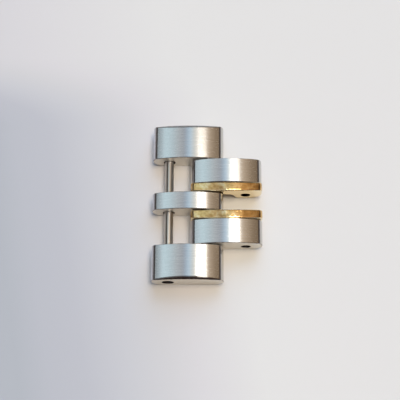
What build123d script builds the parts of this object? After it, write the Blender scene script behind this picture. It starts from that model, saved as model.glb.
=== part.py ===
from build123d import *
import math
import os

# Segment of a two-tone link watch bracelet, lying flat, in millimetres.
# X runs along the bracelet, Y runs across it and Z is up. The origin is on the surface that the
# segment lies on, under the hinge pin and halfway across the band.
# A row of three brushed steel links carries two pins. Two steel and two thin gold links swing on
# the hinge pin between them, and their open bores take the next segment's pin.

# Band and pitch
band_width = 20.0
pin_pitch = 4.8
end_overhang = 2.05
link_height = 3.25
pin_axis_height = 1.25

# Widths across the band; the outer links take what is left of the band's width
centre_link_width = 2.2
gold_link_width = 1.12
steel_link_width = 3.1
side_gap = 0.12
leaf_gap = 0.04

# Steel link profile; the end rounds would reach past the flat bottom and stop short of the top
arch_radius = 12.5
end_round_past_bottom = 0.07
end_round_short_of_top = 0.12
crown_fillet = 0.6
profile_fillet = 0.2
edge_break = 0.05

# Polished bevel on the outer links, eased along its upper edge and narrower towards the ends
bevel_depth = 0.3
bevel_tilt = 45.0
bevel_ease = 0.08
bevel_ease_tilt = 22.5
bevel_flattening = 5.0

# Gold link profile
gold_drop = 0.1
gold_arch_radius = 60.0
gold_corner_fillet = 0.45
gold_edge_fillet = 0.2
relief_height = 1.4
relief_crest = 1.2
relief_foot = 2.6
relief_fillet = 0.4

# Pins, bores and collars
pin_diameter = 1.15
running_clearance = 0.03
sliding_clearance = 0.02
pin_end_chamfer = 0.12
hinge_seat_cover = 1.2
hinge_seat_spare = 0.2
link_pin_recess = 0.9
link_pin_end_flat = 0.12
slit_width = 0.12
slit_root = 2.2
slit_tilt = 20.0
collar_wall = 0.16
collar_recess = 0.45
collar_outer_recess = 0.85
collar_chamfer = 0.04

# Room that a cut takes beyond the metal
cut_overrun = 0.5
quarter_turn = 90.0

# Places worked out from the sizes above
half_band = band_width / 2
hinge_x = 0.0
link_pin_x = hinge_x - pin_pitch
free_bore_x = hinge_x + pin_pitch
carrier_middle = (hinge_x + link_pin_x) / 2
leaf_middle = (hinge_x + free_bore_x) / 2
link_length = pin_pitch + 2 * end_overhang
end_radius = (link_height + end_round_past_bottom - end_round_short_of_top) / 2
end_centre_height = end_radius - end_round_past_bottom
bevel_cuts = ((bevel_tilt, bevel_depth), (bevel_ease_tilt, bevel_depth + bevel_ease))
gold_height = link_height - gold_drop
centre_side = centre_link_width / 2
gold_inside = centre_side + side_gap
gold_outside = gold_inside + gold_link_width
steel_inside = gold_outside + leaf_gap
steel_outside = steel_inside + steel_link_width
outer_inside = steel_outside + side_gap
hinge_seat_end = half_band - hinge_seat_cover
pin_radius = pin_diameter / 2
running_bore_radius = pin_radius + running_clearance
collar_bore_radius = pin_radius + sliding_clearance
collar_radius = collar_bore_radius + collar_wall

os.makedirs("parts", exist_ok=True)


def finish(piece, name):
    """Label a finished piece and write it under its own name."""
    piece.part.label = name
    export_step(piece.part, f"parts/{name}.step")


def trim_outline(middle_x, height, top_radius):
    """Trim an outline to a flat bottom and a shallow arched top."""
    with Locations((middle_x, height - top_radius)):
        Circle(top_radius, mode=Mode.INTERSECT)
    with Locations((middle_x, 0)):
        Rectangle(link_length, height, align=(Align.CENTER, Align.MIN), mode=Mode.INTERSECT)


def steel_outline(middle_x):
    """Draw a steel link's side outline, with both ends round under the arch."""
    with Locations((middle_x, end_centre_height)):
        SlotOverall(link_length, 2 * end_radius)
    with Locations((middle_x, 0)):
        Rectangle(link_length - 2 * end_radius, link_height, align=(Align.CENTER, Align.MIN))
    trim_outline(middle_x, link_height, arch_radius)


def gold_outline(middle_x):
    """Draw a gold link's side outline, round at the lower ends and square at the upper ones."""
    with Locations((middle_x, end_centre_height)):
        SlotOverall(link_length, 2 * end_radius)
        Rectangle(link_length, gold_height - end_centre_height, align=(Align.CENTER, Align.MIN))
    trim_outline(middle_x, gold_height, gold_arch_radius)


def round_corners(outline, upper_radius):
    """Round an outline's two upper corners, and its two lower ones to the common radius."""
    fillet(outline.vertices().group_by(Axis.Y)[-1], upper_radius)
    fillet(outline.vertices().group_by(Axis.Y)[0], profile_fillet)


def crosswise(x, low, high, radius, mode=Mode.ADD):
    """Add or cut a cylinder on the pin height, running across the band from low to high."""
    with Locations((x, (low + high) / 2, pin_axis_height)):
        Cylinder(radius, high - low, rotation=(quarter_turn, 0, 0), mode=mode)


# Centre link, with the hinge pin's seat and the collar's bore right through it
with BuildPart() as centre_link:
    with BuildSketch(Plane.XZ.offset(-centre_side)) as centre_outline:
        steel_outline(carrier_middle)
        round_corners(centre_outline, crown_fillet)
    extrude(amount=centre_link_width)
    chamfer(centre_link.faces().filter_by(Axis.Y).edges(), edge_break)
    crosswise(hinge_x, -half_band, half_band, pin_radius, Mode.SUBTRACT)
    crosswise(link_pin_x, -half_band, half_band, collar_radius, Mode.SUBTRACT)
finish(centre_link, "centre_link")

# Outer links, mirror images of each other across the band
for side, sign in (("far", 1), ("near", -1)):
    low, high = sorted((sign * outer_inside, sign * half_band))
    with BuildPart() as outer_link:
        with BuildSketch(Plane.XZ.offset(-high)) as outer_outline:
            steel_outline(carrier_middle)
            round_corners(outer_outline, crown_fillet)
        extrude(amount=high - low)
        chamfer(outer_link.faces().filter_by(Axis.Y).edges(), edge_break)
        # Each bevel cut rises inwards at its tilt, and meets the arch's crown at its own reach
        for tilt, reach in bevel_cuts:
            slope = math.tan(math.radians(tilt))
            cut_radius = arch_radius + slope * bevel_flattening
            cut_crown = link_height - slope * (reach + cut_overrun)
            with BuildSketch(Plane.XZ.offset(-sign * (half_band + cut_overrun))):
                with Locations((carrier_middle, link_height)):
                    Rectangle(link_length + 2 * cut_overrun, 2 * link_height)
                with Locations((carrier_middle, cut_crown - cut_radius)):
                    Circle(cut_radius, mode=Mode.SUBTRACT)
            extrude(amount=link_height, dir=(0, -sign, slope), mode=Mode.SUBTRACT)
        # The hinge pin's seat is blind, and the collar's bore goes right through
        crosswise(hinge_x, *sorted((0, sign * hinge_seat_end)), pin_radius, Mode.SUBTRACT)
        crosswise(link_pin_x, *sorted((0, sign * band_width)), collar_radius, Mode.SUBTRACT)
    finish(outer_link, f"{side}_outer_link")

# Steel links of the swinging row
for side, sign in (("far", 1), ("near", -1)):
    low, high = sorted((sign * steel_inside, sign * steel_outside))
    with BuildPart() as steel_link:
        with BuildSketch(Plane.XZ.offset(-high)) as steel_sketch:
            steel_outline(leaf_middle)
            round_corners(steel_sketch, crown_fillet)
        extrude(amount=steel_link_width)
        chamfer(steel_link.faces().filter_by(Axis.Y).edges(), edge_break)
        crosswise(hinge_x, -half_band, half_band, running_bore_radius, Mode.SUBTRACT)
        crosswise(free_bore_x, -half_band, half_band, running_bore_radius, Mode.SUBTRACT)
    finish(steel_link, f"{side}_steel_link")

# Gold links of the swinging row, relieved underneath between their two bores
for side, sign in (("far", 1), ("near", -1)):
    low, high = sorted((sign * gold_inside, sign * gold_outside))
    with BuildPart() as gold_link:
        with BuildSketch(Plane.XZ.offset(-high)) as gold_sketch:
            gold_outline(leaf_middle)
            round_corners(gold_sketch, gold_corner_fillet)
            with BuildLine():
                Polyline(
                    (leaf_middle - relief_foot / 2, 0),
                    (leaf_middle - relief_crest / 2, relief_height),
                    (leaf_middle + relief_crest / 2, relief_height),
                    (leaf_middle + relief_foot / 2, 0),
                    close=True,
                )
            make_face(mode=Mode.SUBTRACT)
            relief_side = relief_foot / 2 + edge_break
            relief_corners = gold_sketch.vertices().filter_by_position(
                Axis.X, leaf_middle - relief_side, leaf_middle + relief_side
            )
            fillet(relief_corners, relief_fillet)
        extrude(amount=gold_link_width)
        fillet(gold_link.faces().filter_by(Axis.Y).edges(), gold_edge_fillet)
        crosswise(hinge_x, -half_band, half_band, running_bore_radius, Mode.SUBTRACT)
        crosswise(free_bore_x, -half_band, half_band, running_bore_radius, Mode.SUBTRACT)
    finish(gold_link, f"{side}_gold_link")

# Hinge pin, pressed into the three carrier links
with BuildPart() as hinge_pin:
    hinge_pin_end = hinge_seat_end - hinge_seat_spare
    crosswise(hinge_x, -hinge_pin_end, hinge_pin_end, pin_radius)
    chamfer(hinge_pin.edges().filter_by(GeomType.CIRCLE), pin_end_chamfer)
finish(hinge_pin, "hinge_pin")

# Link pin, slit along most of its length so that its two legs spring against the collars
with BuildPart() as link_pin:
    link_pin_end = half_band - link_pin_recess
    crosswise(link_pin_x, -link_pin_end, link_pin_end, pin_radius)
    fillet(link_pin.edges().filter_by(GeomType.CIRCLE), pin_radius - link_pin_end_flat)
    slit_side = (math.cos(math.radians(slit_tilt)), 0, math.sin(math.radians(slit_tilt)))
    slit_plane = Plane(origin=(link_pin_x, 0, pin_axis_height), x_dir=(0, 1, 0), z_dir=slit_side)
    slit_start = slit_root - link_pin_end
    slit_end = link_pin_end + cut_overrun
    with BuildSketch(slit_plane):
        with Locations(((slit_start + slit_end) / 2, 0)):
            Rectangle(slit_end - slit_start, 2 * pin_diameter)
    extrude(amount=slit_width / 2, both=True, mode=Mode.SUBTRACT)
finish(link_pin, "link_pin")

# Collars, pressed into the carrier links and set back from their side faces
collar_spans = {
    "far_pin_collar": (outer_inside + collar_recess, half_band - collar_outer_recess),
    "centre_pin_collar": (collar_recess - centre_side, centre_side - collar_recess),
    "near_pin_collar": (collar_outer_recess - half_band, -outer_inside - collar_recess),
}
for name, (low, high) in collar_spans.items():
    with BuildPart() as collar:
        crosswise(link_pin_x, low, high, collar_radius)
        chamfer(collar.edges().filter_by(GeomType.CIRCLE), collar_chamfer)
        crosswise(link_pin_x, low, high, collar_bore_radius, Mode.SUBTRACT)
    finish(collar, name)
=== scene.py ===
"""Looks for the link watch bracelet segment: camera, light, floor and materials.

X runs along the bracelet, Y across it towards the far edge, and Z is up. Lengths are in metres.
"""
import math

import bpy
from mathutils import Matrix, Vector

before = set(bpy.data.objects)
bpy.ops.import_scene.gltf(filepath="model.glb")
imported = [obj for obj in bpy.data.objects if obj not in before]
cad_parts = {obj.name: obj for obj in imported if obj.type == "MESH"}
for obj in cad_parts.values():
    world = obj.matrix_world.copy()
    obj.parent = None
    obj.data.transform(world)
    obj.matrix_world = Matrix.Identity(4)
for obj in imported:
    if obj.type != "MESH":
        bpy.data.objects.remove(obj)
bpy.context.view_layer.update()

MM = 0.001
WHITE = (1.0, 1.0, 1.0)


# Node helpers
def opaque(colour):
    """Give a colour the full alpha that a colour socket asks for."""
    return (*colour, 1.0)


class Tree:
    """Short calls for building a node tree, from sockets and plain values alike."""

    def __init__(self, owner):
        """Start an empty tree in a material or world."""
        owner.use_nodes = True
        self.tree = owner.node_tree
        self.tree.nodes.clear()

    def add(self, kind, settings=None, **inputs):
        """Add a node with its settings, and feed its inputs by name."""
        node = self.tree.nodes.new(kind)
        for name, value in (settings or {}).items():
            setattr(node, name, value)
        for name, value in inputs.items():
            self.feed(node, name.replace("_", " "), value)
        return node

    def feed(self, node, key, value):
        """Link a socket to an input, or set the input to a plain value."""
        if isinstance(value, bpy.types.NodeSocket):
            self.tree.links.new(value, node.inputs[key])
        else:
            node.inputs[key].default_value = value

    def feed_first(self, node, values):
        """Feed a node's first inputs in order, and return its first output."""
        for index, value in enumerate(values):
            self.feed(node, index, value)
        return node.outputs[0]

    def math(self, operation, *values):
        """Work on numbers."""
        return self.feed_first(self.add("ShaderNodeMath", {"operation": operation}), values)

    def scale(self, vector, factors):
        """Multiply a vector or colour by another, part by part."""
        node = self.add("ShaderNodeVectorMath", {"operation": "MULTIPLY"})
        return self.feed_first(node, (vector, factors))

    def parts(self, vector):
        """Split a vector into its X, Y and Z."""
        return self.add("ShaderNodeSeparateXYZ", Vector=vector).outputs

    def remap(self, value, low, high, to_low=0.0, to_high=1.0, smooth=False):
        """Bring a number from one range to another, and hold it at the ends."""
        kind = "SMOOTHSTEP" if smooth else "LINEAR"
        node = self.add("ShaderNodeMapRange", {"interpolation_type": kind, "clamp": True})
        return self.feed_first(node, (value, low, high, to_low, to_high))

    def toward(self, share, value, target):
        """Move a number towards a target by a share."""
        return self.math("MULTIPLY_ADD", share, self.math("SUBTRACT", target, value), value)

    def ramp(self, value, stops):
        """Turn a number from 0 to 1 into a colour, by stops of place and colour."""
        node = self.add("ShaderNodeValToRGB", Fac=value)
        elements = node.color_ramp.elements
        while len(elements) > 1:
            elements.remove(elements[-1])
        for index, (place, colour) in enumerate(stops):
            element = elements[0] if index == 0 else elements.new(place)
            element.position = place
            element.color = opaque(colour)
        return node.outputs["Color"]

    def signed_ramp(self, value, stops):
        """Turn a number from -1 to 1 into a colour, by stops of place and colour."""
        share = self.math("MULTIPLY_ADD", value, 0.5, 0.5)
        return self.ramp(share, [(place / 2 + 0.5, colour) for place, colour in stops])

    def mix(self, share, a, b):
        """Mix two colours; a Mix node has its colours at inputs 6 and 7 and at output 2."""
        node = self.add("ShaderNodeMix", {"data_type": "RGBA"})
        for index, value in ((0, share), (6, a), (7, b)):
            self.feed(node, index, value)
        return node.outputs[2]

    def noise(self, place, scale=1.0, detail=2.0, roughness=0.5):
        """Add a soft noise."""
        node = self.add(
            "ShaderNodeTexNoise", Vector=place, Scale=scale, Detail=detail, Roughness=roughness
        )
        return node.outputs["Fac"]

    def two_noises(self, main, second):
        """Add two noises, the first the stronger."""
        return self.math(
            "ADD", self.math("MULTIPLY", main, 0.6), self.math("MULTIPLY", second, 0.4)
        )

    def surface(self):
        """The place on a piece, and the X, Y and Z of the face's own normal."""
        coordinates = self.add("ShaderNodeTexCoord").outputs
        return coordinates["Object"], self.parts(coordinates["Normal"])

    def principled(self, **inputs):
        """End the tree in a principled shader."""
        shader = self.add("ShaderNodeBsdfPrincipled", **inputs)
        self.add("ShaderNodeOutputMaterial", Surface=shader.outputs[0])


# Camera
def add_camera():
    """Look at the segment from close above its near side, as the photograph does."""
    elevation = math.radians(72.02)
    azimuth = math.radians(5.3)
    roll = math.radians(5.24)
    distance = 120 * MM
    pixels_per_metre = 7863.0
    image_side = 400
    target = Vector((-0.941 * MM, 0.991 * MM, 0.0))
    data = bpy.data.cameras.new("camera")
    data.sensor_width = 36.0
    data.lens = data.sensor_width * pixels_per_metre * distance / image_side
    data.clip_start = 0.01
    data.clip_end = 20.0
    camera = bpy.data.objects.new("camera", data)
    bpy.context.scene.collection.objects.link(camera)
    back = Vector(
        (
            math.sin(azimuth) * math.cos(elevation),
            -math.cos(azimuth) * math.cos(elevation),
            math.sin(elevation),
        )
    )
    level = Vector((math.cos(azimuth), math.sin(azimuth), 0.0))
    upwards = back.cross(level)
    right = level * math.cos(roll) - upwards * math.sin(roll)
    up = level * math.sin(roll) + upwards * math.cos(roll)
    turn = Matrix((right, up, back)).transposed().to_4x4()
    camera.matrix_world = Matrix.Translation(target + back * distance) @ turn
    bpy.context.scene.camera = camera


# Surroundings
# Light overhead by its angle from straight up towards the right, in degrees
OVERHEAD_TONES = (
    (-41, (0.06, 0.055, 0.06)),
    (-38, (0.38, 0.42, 0.44)),
    (-35, (0.70, 0.86, 0.94)),
    (-32, (0.80, 1.02, 1.12)),
    (-28, (0.72, 0.93, 1.01)),
    (-22, (0.64, 0.79, 0.86)),
    (-14, (0.57, 0.62, 0.65)),
    (-7, (0.44, 0.48, 0.53)),
    (-4, (0.46, 0.58, 0.71)),
    (0, (0.66, 0.88, 1.06)),
    (5, (0.80, 0.84, 0.80)),
    (14, (0.84, 0.74, 0.61)),
    (20, (0.66, 0.52, 0.37)),
    (38, (0.22, 0.15, 0.085)),
    (41, (0.11, 0.08, 0.065)),
)
# What that light is multiplied by, from near to far by the direction's Y
ACROSS_TONES = (
    (-1.0, (0.60, 0.50, 0.45)),
    (-0.7, (1.15, 1.05, 1.05)),
    (-0.3, (1.15, 1.05, 1.05)),
    (0.0, WHITE),
    (1.0, WHITE),
)
# The dim band above the horizon, from near to far by the direction's Y
HORIZON_TONES = (
    (-1.0, (0.05, 0.03, 0.025)),
    (0.0, (0.08, 0.07, 0.065)),
    (1.0, (0.12, 0.12, 0.12)),
)
BELOW_TONE = (0.78, 0.78, 0.79)
# The direction's Z where the dim band begins, and where it gives way to the light overhead
BAND_START = (0.10, 0.14)
BAND_END = (0.35, 0.62)
# The lamps light the matt table, so the surroundings add only a little to it
MATT_SHARE = 0.3

# Name of each soft lamp, the direction towards it, its spread in degrees, colour and strength
SOFT_LAMPS = (
    ("cool_key", (0.2, 0.75, 0.65), 60, (0.50, 0.70, 1.0), 2.0),
    ("warm_fill", (0.2, 0.0, 1.0), 28, (1.0, 0.85, 0.65), 2.0),
)


def add_world():
    """Soft surroundings: cool at the left, warm at the right, dim above the horizon, pale below."""
    world = bpy.data.worlds.new("surroundings")
    bpy.context.scene.world = world
    t = Tree(world)
    x, y, z = t.parts(t.add("ShaderNodeTexCoord").outputs["Generated"])
    # The ramp runs from straight left over straight up to straight right
    angle = t.math("MULTIPLY_ADD", t.math("ARCTAN2", x, z), 1 / math.pi, 0.5)
    overhead = t.ramp(angle, [(degrees / 180 + 0.5, tone) for degrees, tone in OVERHEAD_TONES])
    overhead = t.scale(overhead, t.signed_ramp(y, ACROSS_TONES))
    band = t.signed_ramp(y, HORIZON_TONES)
    above = t.mix(t.remap(z, *BAND_END, smooth=True), band, overhead)
    colour = t.mix(t.remap(z, *BAND_START, smooth=True), opaque(BELOW_TONE), above)
    path = t.add("ShaderNodeLightPath").outputs
    shown = t.math("MAXIMUM", path["Is Camera Ray"], path["Is Glossy Ray"])
    shown = t.math("MAXIMUM", shown, path["Is Transmission Ray"])
    strength = t.remap(shown, 0.0, 1.0, MATT_SHARE, 1.0)
    background = t.add("ShaderNodeBackground", Color=colour, Strength=strength)
    t.add("ShaderNodeOutputWorld", Surface=background.outputs[0])


def add_strip_light():
    """A long strip lamp close overhead, which the arched links show as a white band."""
    height = 51 * MM
    left = 6.4 * MM
    right = 17.2 * MM
    near = -40 * MM
    far = 9.5 * MM
    radiance = 5.3
    data = bpy.data.lights.new("strip", "AREA")
    data.shape = "RECTANGLE"
    data.size = right - left
    data.size_y = far - near
    data.color = (1.0, 0.98, 0.93)
    data.energy = radiance * math.pi * data.size * data.size_y
    strip = bpy.data.objects.new("strip", data)
    strip.location = ((left + right) / 2, (near + far) / 2, height)
    strip.visible_camera = False
    strip.visible_diffuse = False
    bpy.context.scene.collection.objects.link(strip)


def add_soft_lamps():
    """Wide soft lamps that light matt surfaces and leave no highlight on the metal."""
    for name, toward, spread, colour, strength in SOFT_LAMPS:
        data = bpy.data.lights.new(name, "SUN")
        data.angle = math.radians(spread)
        data.color = colour
        data.energy = strength
        lamp = bpy.data.objects.new(name, data)
        lamp.rotation_euler = Vector(toward).to_track_quat("Z", "Y").to_euler()
        lamp.visible_glossy = False
        bpy.context.scene.collection.objects.link(lamp)


# Floor
FLOOR_REACH = 2.0
# The floor lies this far under the links, so that no faces coincide
FLOOR_GAP = 0.004 * MM
# Painted shade: the floor is darker and cooler towards the left. Its tones run from left to right
# between these X, and further left towards the far side
FLOOR_SPAN = (-27 * MM, 10 * MM)
FLOOR_SLANT = 0.2
FLOOR_PAINTED_SHADE = (
    (0.0, (0.49, 0.52, 0.575)),
    (0.1, (0.535, 0.555, 0.615)),
    (0.22, (0.555, 0.57, 0.63)),
    (0.38, (0.635, 0.645, 0.69)),
    (0.5, (0.69, 0.69, 0.72)),
    (0.6, (0.74, 0.73, 0.76)),
    (0.8, (0.81, 0.81, 0.81)),
    (1.0, (0.815, 0.81, 0.81)),
)
# Over these Y the painted shade at the far left eases and the floor turns paler again: its place
# along the tones rises by the second number, and by less further right, at the slope of the first
FAR_SPAN = (11 * MM, 22 * MM)
FAR_RISE = (-0.6, 0.52)


def add_floor():
    """A plain pale table top with painted shade, a little darker and cooler towards the left."""
    mesh = bpy.data.meshes.new("floor")
    size = FLOOR_REACH
    corners = [(-size, -size, 0), (size, -size, 0), (size, size, 0), (-size, size, 0)]
    mesh.from_pydata(corners, [], [(0, 1, 2, 3)])
    floor = bpy.data.objects.new("floor", mesh)
    floor.location.z = -FLOOR_GAP
    bpy.context.scene.collection.objects.link(floor)
    material = bpy.data.materials.new("table_top")
    t = Tree(material)
    place = t.parts(t.add("ShaderNodeTexCoord").outputs["Object"])
    share = t.remap(t.math("MULTIPLY_ADD", place["Y"], FLOOR_SLANT, place["X"]), *FLOOR_SPAN)
    far = t.remap(place["Y"], *FAR_SPAN, smooth=True)
    share = t.math("MULTIPLY_ADD", far, t.math("MULTIPLY_ADD", share, *FAR_RISE), share)
    # The floor's colour carries painted shade towards the left
    t.principled(Base_Color=t.ramp(share, FLOOR_PAINTED_SHADE), Roughness=0.55, Specular_IOR_Level=0.3)
    mesh.materials.append(material)


# Materials
# Noise keeps mostly between these values
NOISE_SPAN = (0.3, 0.7)

# The insides of the bores get painted shade, by the distance to the pins' axes. Their walls have
# little of the Y in their own normals that the side faces have
PIN_PITCH = 4.8 * MM
PIN_HEIGHT = 1.25 * MM
BORE_REACH = 0.80 * MM
BORE_WALL_Y = 0.5
STEEL_BORE_PAINTED_SHADE = (0.06, 0.05, 0.05)
STEEL_BORE_ROUGHNESS = 0.5
GOLD_BORE_PAINTED_SHADE = (0.07, 0.05, 0.03)

# Steel is brushed where its own normal points up or down, and ground where it points across.
# Each comes in over this span of the normal's Z or Y
BRUSHED_SPAN = (0.925, 0.945)
SIDE_SPAN = (0.90, 0.97)
# Painted light: the steel side faces are made a little lighter and warmer
SIDE_PAINTED_LIGHT = (1.08, 1.04, 0.96)
SIDE_ROUGHNESS = 0.35
# The brushing's coarser lines by the scale of the fine ones, and what the grain multiplies the
# tone and the roughness by
COARSE_SCALE = (0.3, 0.3, 0.3)
GRAIN_TONES = (0.92, 1.06)
GRAIN_ROUGHENING = (0.9, 1.1)
# Smudges on the polished steel, and how much rougher they make it
SMUDGE_SCALE = 900.0
SMUDGE_ROUGHENING = 1.3
# Painted shade on the links' slanted faces by the Y of the face's own normal, as its middle, reach
# and tone: the easing above the near bevel, the near bevels and the far bevels
BEVEL_PAINTED_SHADES = (
    (-0.38, 0.06, (0.25, 0.24, 0.23)),
    (-0.70, 0.10, (0.60, 0.56, 0.55)),
    (0.70, 0.10, (0.45, 0.46, 0.47)),
)
# Painted shade on the end rounds by the X of the face's own normal, cool at the very ends and
# darkest just below the crown
END_PAINTED_SHADES = (
    (-1.0, (0.82, 0.86, 0.94)),
    (-0.92, (0.80, 0.83, 0.91)),
    (-0.80, (0.64, 0.61, 0.65)),
    (-0.72, (0.42, 0.40, 0.40)),
    (-0.60, (0.42, 0.40, 0.40)),
    (-0.50, WHITE),
    (0.50, WHITE),
    (0.60, (0.62, 0.59, 0.57)),
    (0.72, (0.62, 0.59, 0.57)),
    (0.80, (0.85, 0.83, 0.80)),
    (1.0, (0.85, 0.83, 0.80)),
)

# Gold: its waves and finer patches, and its roughness and tones
WAVE_SCALE = 900.0
PATCH_SCALE = 2200.0
GOLD_ROUGHNESS = (0.10, 0.18)
GOLD_TONES = (
    (0.38, (0.56, 0.33, 0.12)),
    (0.5, (0.79, 0.51, 0.22)),
    (0.62, (0.92, 0.70, 0.40)),
)
# Painted reflection: the side faces and the edges round them are paler, by the Y of the face's own
# normal
GOLD_SIDE_SPAN = (0.35, 0.7)
GOLD_SIDE_PAINTED_REFLECTION = (0.90, 0.76, 0.50)
# Polishing leaves the top a little fuller about its middle, as on an arc of this radius, and
# uneven by these heights
GOLD_MIDDLE = 2.4 * MM
GOLD_RADIUS = 17 * MM
GOLD_UNEVENNESS = 0.035 * MM
GOLD_DIMPLES = 0.015 * MM


def bore_mask(t, place, normal):
    """One inside the cross bores and nought elsewhere."""
    at = t.parts(place)
    # Distance along the bracelet from the nearest pin axis, by folding halfway between the pins
    aside = t.math("PINGPONG", at["X"], PIN_PITCH / 2)
    up = t.math("SUBTRACT", at["Z"], PIN_HEIGHT)
    squared = t.math("MULTIPLY_ADD", aside, aside, t.math("MULTIPLY", up, up))
    close = t.math("LESS_THAN", t.math("SQRT", squared), BORE_REACH)
    wall = t.math("LESS_THAN", t.math("ABSOLUTE", normal["Y"]), BORE_WALL_Y)
    return t.math("MULTIPLY", close, wall)


def steel_material(
    name, tangent, brush, base, rough_brushed, rough_polished, anisotropy, is_link
):
    """Steel that is brushed above and below, ground at the sides and polished elsewhere.

    Only a link has painted shade on its bevels, end rounds and bores, and painted light on its side
    faces.
    """
    material = bpy.data.materials.new(name)
    t = Tree(material)
    place, normal = t.surface()
    brushed = t.remap(t.math("ABSOLUTE", normal["Z"]), *BRUSHED_SPAN)
    side = t.remap(t.math("ABSOLUTE", normal["Y"]), *SIDE_SPAN)
    lines = t.scale(place, brush)
    fine = t.noise(lines, detail=3.0, roughness=0.7)
    grain = t.two_noises(fine, t.noise(t.scale(lines, COARSE_SCALE)))
    grain_tone = t.remap(grain, *NOISE_SPAN, *GRAIN_TONES)
    colour = t.scale(base, t.mix(brushed, opaque(WHITE), grain_tone))
    if is_link:
        # Painted shade on the slanted faces
        for middle, reach, tone in BEVEL_PAINTED_SHADES:
            bevel = t.math("COMPARE", normal["Y"], middle, reach)
            colour = t.mix(bevel, colour, t.scale(colour, tone))
        # Painted shade on the end rounds
        colour = t.scale(colour, t.signed_ramp(normal["X"], END_PAINTED_SHADES))
        # Painted light on the side faces
        colour = t.mix(side, colour, t.scale(colour, SIDE_PAINTED_LIGHT))
    smudge = t.noise(place, scale=SMUDGE_SCALE, detail=3.0)
    polished = t.remap(smudge, *NOISE_SPAN, rough_polished, rough_polished * SMUDGE_ROUGHENING)
    worked = t.remap(grain, *NOISE_SPAN, *(rough_brushed * factor for factor in GRAIN_ROUGHENING))
    rough = t.math(
        "ADD",
        t.math("MULTIPLY", brushed, worked),
        t.math("MULTIPLY", t.math("SUBTRACT", 1.0, brushed), polished),
    )
    rough = t.toward(side, rough, SIDE_ROUGHNESS)
    if is_link:
        bore = bore_mask(t, place, normal)
        # Painted shade in the bores
        colour = t.mix(bore, colour, opaque(STEEL_BORE_PAINTED_SHADE))
        rough = t.toward(bore, rough, STEEL_BORE_ROUGHNESS)
    bump = t.add("ShaderNodeBump", Strength=0.25, Distance=2e-6, Height=grain)
    world_tangent = t.add(
        "ShaderNodeVectorTransform",
        {"vector_type": "VECTOR", "convert_from": "OBJECT", "convert_to": "WORLD"},
        Vector=tangent,
    )
    t.principled(
        Base_Color=colour,
        Metallic=1.0,
        Roughness=rough,
        Anisotropic=anisotropy,
        Tangent=world_tangent.outputs[0],
        Normal=bump.outputs[0],
    )
    return material


def gold_material():
    """Polished gold with a little unevenness, painted shade in its bores and painted reflection on
    its side faces.
    """
    material = bpy.data.materials.new("polished_gold")
    t = Tree(material)
    place, normal = t.surface()
    wave = t.noise(place, scale=WAVE_SCALE, detail=3.0)
    patches = t.noise(place, scale=PATCH_SCALE)
    colour = t.ramp(t.two_noises(wave, patches), GOLD_TONES)
    side = t.remap(t.math("ABSOLUTE", normal["Y"]), *GOLD_SIDE_SPAN)
    # Painted reflection on the side faces
    colour = t.mix(side, colour, opaque(GOLD_SIDE_PAINTED_REFLECTION))
    # Painted shade in the bores
    colour = t.mix(bore_mask(t, place, normal), colour, opaque(GOLD_BORE_PAINTED_SHADE))
    along = t.math("SUBTRACT", t.parts(place)["X"], GOLD_MIDDLE)
    height = t.math("MULTIPLY", t.math("MULTIPLY", along, along), -0.5 / GOLD_RADIUS)
    height = t.math("MULTIPLY_ADD", wave, GOLD_UNEVENNESS, height)
    height = t.math("MULTIPLY_ADD", patches, GOLD_DIMPLES, height)
    bump = t.add("ShaderNodeBump", Strength=1.0, Distance=1.0, Height=height)
    t.principled(
        Base_Color=colour,
        Metallic=1.0,
        Roughness=t.remap(wave, *NOISE_SPAN, *GOLD_ROUGHNESS),
        Normal=bump.outputs[0],
    )
    return material


def dress():
    """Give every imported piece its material."""
    link = steel_material(
        "brushed_link_steel",
        tangent=(0, 1, 0),
        brush=(300, 12000, 12000),
        base=(0.72, 0.71, 0.70),
        rough_brushed=0.26,
        rough_polished=0.06,
        anisotropy=1.0,
        is_link=True,
    )
    pin = steel_material(
        "drawn_pin_steel",
        tangent=(1, 0, 0),
        brush=(3000, 100, 3000),
        base=(0.63, 0.58, 0.52),
        rough_brushed=0.38,
        rough_polished=0.33,
        anisotropy=0.0,
        is_link=False,
    )
    gold = gold_material()
    for name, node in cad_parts.items():
        if "gold" in name:
            node.material_slots[0].material = gold
        elif "pin" in name:
            node.material_slots[0].material = pin
        else:
            node.material_slots[0].material = link


add_camera()
add_world()
add_strip_light()
add_soft_lamps()
add_floor()
dress()

bpy.context.scene.view_settings.view_transform = "Standard"
